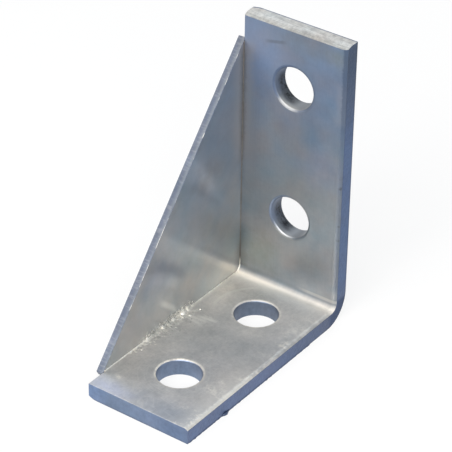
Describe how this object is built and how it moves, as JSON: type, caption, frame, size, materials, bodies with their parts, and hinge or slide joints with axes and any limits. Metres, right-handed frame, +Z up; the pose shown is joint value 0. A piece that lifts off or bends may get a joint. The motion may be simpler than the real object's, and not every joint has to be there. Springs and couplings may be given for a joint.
{
  "type": "reinforced angle bracket",
  "caption": "Right-angle bracket bent from flat strap, with punched bolt holes in both legs and a triangular gusset plate welded along one side.",
  "frame": {"origin": "midway between the two bolt holes of the base leg, on its underside, at the middle of the strap's width", "axes": "+Z up along the upright leg, +Y from the base's free end to the upright's back face, +X across the strap away from the gusset"},
  "size_m": [0.0428, 0.0884, 0.106],
  "materials": {
    "plated_strap": "bright zinc plate over rolled steel, faintly blue, worn bright at the edges",
    "plated_gusset": "bright zinc plate over rolled sheet, a little duller than the strap",
    "plated_weld": "rippled weld bead under zinc plate"
  },
  "bodies": {
    "root": {"angle_strap": "plated_strap", "gusset_plate": "plated_gusset", "upright_weld": "plated_weld", "base_weld": "plated_weld"}
  },
  "joints": []
}
